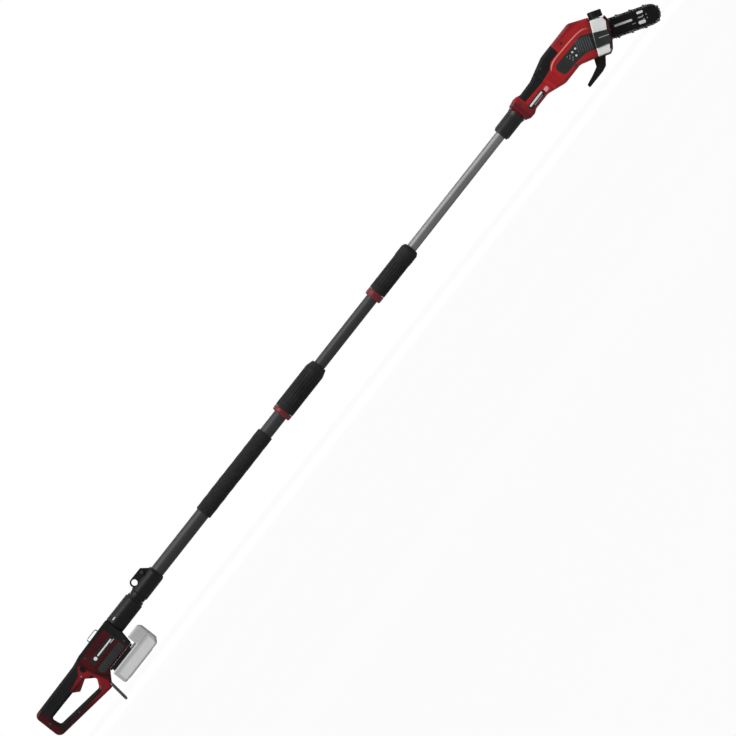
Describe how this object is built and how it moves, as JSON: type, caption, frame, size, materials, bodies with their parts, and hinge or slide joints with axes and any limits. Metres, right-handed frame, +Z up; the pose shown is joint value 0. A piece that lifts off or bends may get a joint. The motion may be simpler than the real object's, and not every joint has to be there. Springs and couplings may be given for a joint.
{
  "type": "telescoping pole saw",
  "caption": "Battery pole saw: D handle with trigger, telescoping pole with twist locks and foam grip, detachable motor head with short guide bar, saw chain and branch hook.",
  "frame": {"origin": "on the ground under the middle of the tool as it lies on its foot and bar", "axes": "+X from the handle toward the saw head, +Z up, Y across the tool"},
  "size_m": [2.079, 0.076, 0.1577],
  "materials": {
    "red_plastic": "satin moulded plastic",
    "black_plastic": "fine grained",
    "soft_grip": "soft touch",
    "grey_insert": "satin",
    "battery_plastic": "satin",
    "battery_button": "satin",
    "cell_wrap": "shrink wrap",
    "foam": "closed cell foam",
    "cable_rubber": "matte",
    "dark_tube": "satin",
    "alu_tube": "anodised",
    "bright_steel": "brushed",
    "dark_steel": "phosphated",
    "chain_steel": "oiled",
    "bar_black": "satin",
    "cast_metal": "cast",
    "tank_plastic": "translucent",
    "brass": "plain",
    "circuit_board": "solder mask"
  },
  "bodies": {
    "handle": {"handle_shell_left": "red_plastic", "handle_shell_right": "red_plastic", "grip_overmould": "soft_grip", "handle_badge_plates": "black_plastic", "handle_side_inserts": "grey_insert", "handle_screws": "dark_steel", "trigger_pin": "bright_steel", "trigger_spring": "bright_steel", "switch_module": "black_plastic", "controller_board": "circuit_board", "battery_rail": "black_plastic", "battery_terminals": "brass", "hanging_loop": "bright_steel", "pole_socket": "black_plastic", "strap_clamp": "black_plastic", "strap_clamp_screw": "dark_steel", "lower_tube": "dark_tube", "foam_grip": "foam", "lower_lock_ring": "red_plastic", "lower_lock_collet": "black_plastic", "coiled_lead": "cable_rubber"},
    "trigger_lever": {"trigger": "red_plastic"},
    "lock_off": {"lock_off_button": "black_plastic"},
    "battery": {"battery_case": "battery_plastic", "battery_cells": "cell_wrap"},
    "battery_latch": {"battery_latch_button": "battery_button"},
    "foot": {"stand_foot": "bright_steel"},
    "lower_lock": {"lower_lock_sleeve": "soft_grip"},
    "middle_section": {"middle_tube": "dark_tube", "middle_tube_bush": "black_plastic", "upper_lock_ring": "red_plastic", "upper_lock_collet": "black_plastic"},
    "upper_lock": {"upper_lock_sleeve": "soft_grip"},
    "upper_section": {"upper_tube": "alu_tube", "upper_tube_bush": "black_plastic", "tube_connector": "black_plastic"},
    "coupling": {"coupling_nut": "black_plastic"},
    "head": {"head_shell_left": "red_plastic", "head_shell_right": "red_plastic", "head_soft_top": "soft_grip", "head_side_panels": "grey_insert", "head_screws": "dark_steel", "motor_can": "cast_metal", "gearbox_housing": "black_plastic", "bar_plate": "bright_steel", "shaft_bearings": "bright_steel", "oil_tank": "tank_plastic", "oil_pump": "black_plastic", "tank_side_cover": "grey_insert", "branch_hook": "black_plastic", "saw_chain": "chain_steel"},
    "tank_cap": {"oil_cap": "black_plastic"},
    "rotor": {"motor_rotor": "bright_steel"},
    "drive": {"drive_gear": "bright_steel", "drive_shaft": "bright_steel", "drive_sprocket": "chain_steel"},
    "bar": {"guide_bar": "bar_black"},
    "bar_nose": {"nose_sprocket": "chain_steel"},
    "cover": {"sprocket_cover": "black_plastic"},
    "knob": {"cover_knob": "red_plastic"}
  },
  "joints": [
    {"name": "trigger_pull", "type": "hinge", "parent": "handle", "child": "trigger_lever", "pos_m": [-0.90545, 0, 0.1097], "axis": [0, 1, 0], "range_deg": [0, 12], "stiffness_Nm_per_rad": 1, "springref_deg": -8.59},
    {"name": "lock_off_press", "type": "slide", "parent": "handle", "child": "lock_off", "axis": [0, 1, 0], "range_m": [0, 0.003], "stiffness_N_per_m": 1500, "springref_m": -0.001},
    {"name": "battery_slide", "type": "slide", "parent": "handle", "child": "battery", "axis": [1, 0, 0], "range_m": [0, 0.1]},
    {"name": "battery_latch_press", "type": "slide", "parent": "battery", "child": "battery_latch", "axis": [-1, 0, 0], "range_m": [0, 0.003], "stiffness_N_per_m": 1500, "springref_m": -0.001},
    {"name": "foot_fold", "type": "hinge", "parent": "handle", "child": "foot", "pos_m": [-0.87645, 0, 0.0497], "axis": [0, 1, 0], "range_deg": [0, 75]},
    {"name": "lower_lock_turn", "type": "hinge", "parent": "handle", "child": "lower_lock", "pos_m": [-0.10945, 0, 0.1217], "axis": [1, 0, 0], "range_deg": [0, 90]},
    {"name": "middle_extend", "type": "slide", "parent": "handle", "child": "middle_section", "axis": [1, 0, 0], "range_m": [-0.17, 0.2]},
    {"name": "upper_lock_turn", "type": "hinge", "parent": "middle_section", "child": "upper_lock", "pos_m": [0.22055, 0, 0.1217], "axis": [1, 0, 0], "range_deg": [0, 90]},
    {"name": "upper_extend", "type": "slide", "parent": "middle_section", "child": "upper_section", "axis": [1, 0, 0], "range_m": [-0.29, 0.15]},
    {"name": "coupling_turn", "type": "hinge", "parent": "upper_section", "child": "coupling", "pos_m": [0.63055, 0, 0.1217], "axis": [1, 0, 0], "range_deg": [0, 270]},
    {"name": "head_release", "type": "slide", "parent": "upper_section", "child": "head", "axis": [1, 0, 0], "range_m": [0, 0.085]},
    {"name": "oil_cap_lift", "type": "slide", "parent": "head", "child": "tank_cap", "axis": [0.5299, 0, 0.848], "range_m": [0, 0.03]},
    {"name": "motor_spin", "type": "hinge", "parent": "head", "child": "rotor", "pos_m": [0.87209, 0, 0.11117], "axis": [0, 1, 0], "continuous": true},
    {"name": "drive_spin", "type": "hinge", "parent": "head", "child": "drive", "pos_m": [0.90363, 0, 0.09559], "axis": [0, 1, 0], "continuous": true},
    {"name": "bar_tension", "type": "slide", "parent": "head", "child": "bar", "axis": [-0.848, 0, 0.5299], "range_m": [0, 0.004]},
    {"name": "nose_spin", "type": "hinge", "parent": "bar", "child": "bar_nose", "pos_m": [1.01345, 0.012, 0.02697], "axis": [0, 1, 0], "continuous": true},
    {"name": "cover_remove", "type": "slide", "parent": "head", "child": "cover", "axis": [0, 1, 0], "range_m": [0, 0.045]},
    {"name": "cover_knob_turn", "type": "hinge", "parent": "cover", "child": "knob", "pos_m": [0.92822, 0.03, 0.08022], "axis": [0, 1, 0], "range_deg": [0, 360]}
  ],
  "couplings": [
    {"joint": "drive_spin", "follows": "motor_spin", "ratio": -0.3125},
    {"joint": "nose_spin", "follows": "motor_spin", "ratio": -0.2724}
  ]
}
